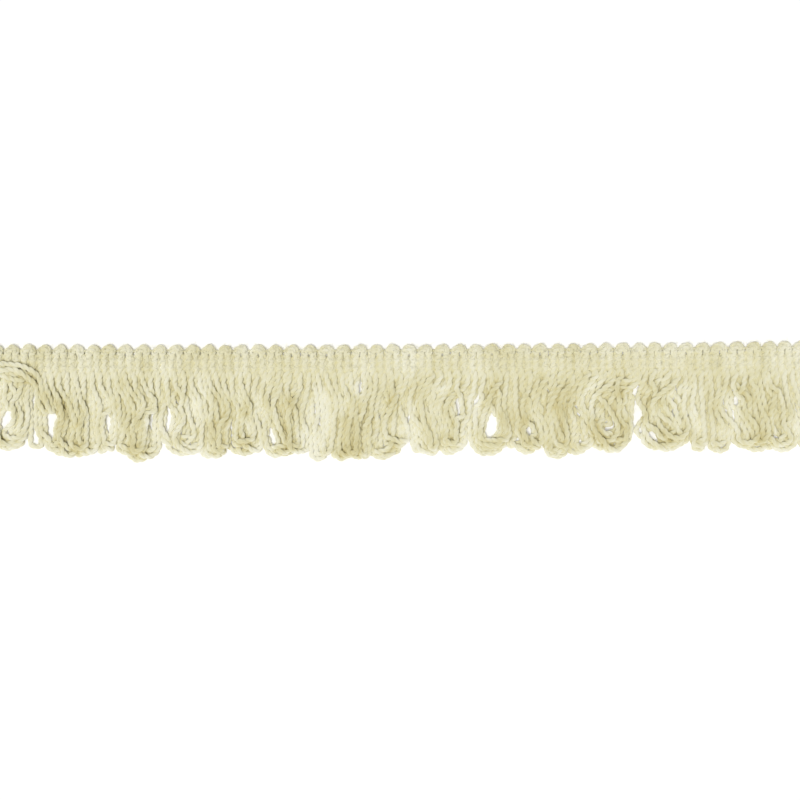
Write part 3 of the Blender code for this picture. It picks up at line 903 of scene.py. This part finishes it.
def loose_fibres(paths):
    """Short thin fibres that lie on the yarn and cross to the next, each of two rings and a tip."""
    rng = np.random.default_rng(SEED)
    path = np.vstack(paths)
    _, ahead, side, up = along_and_across(path)
    at = rng.integers(0, len(path), FIBRES)
    angle = np.radians(rng.uniform(FIBRE_SIDE, 180 - FIBRE_SIDE, FIBRES))
    out = np.cos(angle)[:, None] * side[at] + np.sin(angle)[:, None] * up[at]
    onward = ahead[at] * rng.choice([-1.0, 1.0], FIBRES)[:, None]
    across = side[at] * rng.normal(0, FIBRE_SLANT, FIBRES)[:, None]
    heading = FIBRE_AHEAD * onward + across + FIBRE_LIFT * out
    bend = FIBRE_BEND * rng.normal(size=(FIBRES, 3)) - FIBRE_DROOP * out
    length = rng.uniform(*FIBRE_LENGTH, FIBRES)[:, None]
    radius = rng.uniform(*FIBRE_RADIUS, FIBRES)[:, None]
    root = path[at] + FIBRE_ROOT * out
    points = []
    for share in FIBRE_RINGS:
        middle = root + length * (share * heading + share**2 * bend)
        for corner in range(FIBRE_SIDES):
            turn = 2 * math.pi * corner / FIBRE_SIDES
            points.append(middle + radius * (math.cos(turn) * side[at] + math.sin(turn) * up[at]))
    points.append(root + length * (heading + bend))
    tip = len(points) - 1
    points = np.stack(points, axis=1)
    points[..., 2] = np.maximum(points[..., 2], FIBRE_LOWEST)
    one = [(2, 1, 0)]
    for corner in range(FIBRE_SIDES):
        a, b = corner, (corner + 1) % FIBRE_SIDES
        c, d = a + FIBRE_SIDES, b + FIBRE_SIDES
        one += [(a, b, d), (a, d, c), (c, d, tip)]
    faces = ((tip + 1) * np.arange(FIBRES)[:, None, None] + np.array(one)).reshape(-1, 3)
    points = points.reshape(-1, 3)
    # Every fibre has the full ridge share, so it carries the strongest painted highlight
    return points, faces, FIBRE_GRAIN * points, np.ones(len(points))


def stretched_noise(nodes, links, place, grain):
    """Noise over these coordinates, as stretched, fine and detailed as its grain says."""
    stretch = nodes.new("ShaderNodeMapping")
    stretch.inputs["Scale"].default_value = grain.stretch
    links.new(place, stretch.inputs["Vector"])
    noise = nodes.new("ShaderNodeTexNoise")
    noise.inputs["Scale"].default_value = grain.scale
    noise.inputs["Detail"].default_value = grain.detail
    links.new(stretch.outputs["Vector"], noise.inputs["Vector"])
    return noise.outputs["Fac"]


def weighted_sum(nodes, links, shares):
    """The sum of these values, each times its share."""
    total = None
    for value, share in shares:
        added = nodes.new("ShaderNodeMath")
        added.operation = "MULTIPLY_ADD"
        added.inputs[1].default_value = share
        added.inputs[2].default_value = 0.0
        links.new(value, added.inputs[0])
        if total is not None:
            links.new(total, added.inputs[2])
        total = added.outputs["Value"]
    return total


def cotton(name, relief):
    """Soft cotton yarn: fine fibres along each ply, with the tone wandering along its length and painted
    light and shade from the points' stored values.
    """
    material = bpy.data.materials.new(name)
    material.use_nodes = True
    nodes, links = material.node_tree.nodes, material.node_tree.links
    shader = nodes["Principled BSDF"]
    for socket, value in COTTON_SURFACE.items():
        shader.inputs[socket].default_value = value
    fibre = nodes.new("ShaderNodeAttribute")
    fibre.attribute_name = "fibre"
    painted_light_and_shade = nodes.new("ShaderNodeAttribute")
    painted_light_and_shade.attribute_name = "painted_light_and_shade"
    place = nodes.new("ShaderNodeTexCoord")
    fibres = stretched_noise(nodes, links, fibre.outputs["Vector"], FIBRE_NOISE)
    slow = stretched_noise(nodes, links, place.outputs["Object"], SLOW_NOISE)
    # The tone: the fibres' noise and the slow noise, with the painted light and shade added
    tone = weighted_sum(nodes, links, (
        (fibres, FIBRE_NOISE.share),
        (slow, SLOW_NOISE.share),
        (painted_light_and_shade.outputs["Fac"], PAINTED_LIGHT_AND_SHADE_SHARE),
    ))
    # The ramp runs from the colour of painted shade and dark tone through the cotton's own to that of
    # painted light and pale tone
    ramp = nodes.new("ShaderNodeValToRGB")
    deep, pale = ramp.color_ramp.elements
    deep.position, deep.color = DEEP_TONE, COTTON_SHADE_AND_DARK_TONE
    pale.position, pale.color = PALE_TONE, COTTON_LIGHT_AND_PALE_TONE
    ramp.color_ramp.elements.new(MIDDLE_TONE).color = COTTON
    links.new(tone, ramp.inputs["Fac"])
    links.new(ramp.outputs["Color"], shader.inputs["Base Color"])
    bump = nodes.new("ShaderNodeBump")
    bump.inputs["Strength"].default_value = relief
    bump.inputs["Distance"].default_value = MM * RELIEF_DEPTH
    links.new(fibres, bump.inputs["Height"])
    links.new(bump.outputs["Normal"], shader.inputs["Normal"])
    return material


def make_trim():
    """All of the trim's yarn: three ends, the chain stitches in front and behind, and loose fibres."""
    edges = scallop_ends()
    loops = lie_down(laid_loops())
    loop_cotton = cotton("cotton_loops", LOOP_RELIEF)
    heading_cotton = cotton("cotton_heading", HEADING_RELIEF)
    ways = [yarn_end(end, loops, edges) for end in range(ENDS)]
    lie = Lie(ways)
    for end, way in enumerate(ways):
        name = f"yarn_end_{end + 1}"
        make_piece(name, *twist(way, LOOP_YARN), lie, loop_cotton, "cotton_loops", ["loop_skirt"])
    heights = zip(CHAIN_ROWS, CHAIN_HEIGHTS)
    front = [chain_row(row, height, CHAIN_RIPPLE, edges) for row, height in heights]
    back = [chain_row(row, BACK_HEIGHT, 0, edges) for row in CHAIN_ROWS]
    chains = join([twist(row, CHAIN_YARN) for row in front])
    make_piece("chain_stitches", *chains, lie, heading_cotton, "cotton_heading", ["heading"])
    behind = join([twist(row, BACK_YARN) for row in back])
    make_piece("chain_stitches_behind", *behind, lie, heading_cotton, "cotton_heading", ["heading"])
    make_piece("loose_fibres", *loose_fibres(ways + front), lie, loop_cotton, "cotton_loops")


def make_camera():
    """Straight above the trim, through a long lens."""
    camera = bpy.data.objects.new("camera", bpy.data.cameras.new("camera"))
    camera.data.lens = LENS
    camera.data.sensor_width = SENSOR
    camera.data.clip_end = FARTHEST
    height = MM * VIEW_WIDTH * LENS / SENSOR
    camera.location = place_over_solids(np.array(VIEW_CENTRE)) + (0, 0, height)
    camera.rotation_euler = (0, 0, VIEW_ROLL)
    bpy.context.scene.collection.objects.link(camera)
    bpy.context.scene.camera = camera


def make_floor():
    """A plain white surface."""
    signs = ((-1, -1), (1, -1), (1, 1), (-1, 1))
    corners = [(x * FLOOR_HALF, y * FLOOR_HALF, 0) for x, y in signs]
    mesh = bpy.data.meshes.new("floor")
    mesh.from_pydata(corners, [], [(0, 1, 2, 3)])
    floor = bpy.data.objects.new("floor", mesh)
    floor.location.z = -FLOOR_BELOW
    bpy.context.scene.collection.objects.link(floor)
    material = bpy.data.materials.new("floor_white")
    material.use_nodes = True
    shader = material.node_tree.nodes["Principled BSDF"]
    shader.inputs["Base Color"].default_value = FLOOR_COLOUR
    shader.inputs["Roughness"].default_value = FLOOR_ROUGHNESS
    shader.inputs["Emission Color"].default_value = WHITE
    shader.inputs["Emission Strength"].default_value = FLOOR_GLOW
    mesh.materials.append(material)


def make_light(name, place, size, power):
    """A square soft light at this place, which faces the trim's middle."""
    light = bpy.data.lights.new(name, "AREA")
    light.shape = "SQUARE"
    light.size = size
    light.energy = power
    lamp = bpy.data.objects.new(name, light)
    lamp.location = place
    azimuth = math.atan2(place[1], place[0])
    tilt = math.atan2(math.hypot(place[0], place[1]), place[2])
    lamp.rotation_euler = (0, tilt, azimuth)
    bpy.context.scene.collection.objects.link(lamp)


def make_studio():
    """White light from beside the camera, a little to the lower left, and less of it from all round."""
    world = bpy.data.worlds.new("studio")
    world.use_nodes = True
    background = world.node_tree.nodes["Background"]
    background.inputs["Color"].default_value = WHITE
    background.inputs["Strength"].default_value = WORLD_STRENGTH
    bpy.context.scene.world = world
    bpy.context.scene.view_settings.view_transform = "Standard"
    make_light("key_light", KEY_PLACE, KEY_SIZE, KEY_POWER)


make_camera()
make_trim()
make_floor()
make_studio()
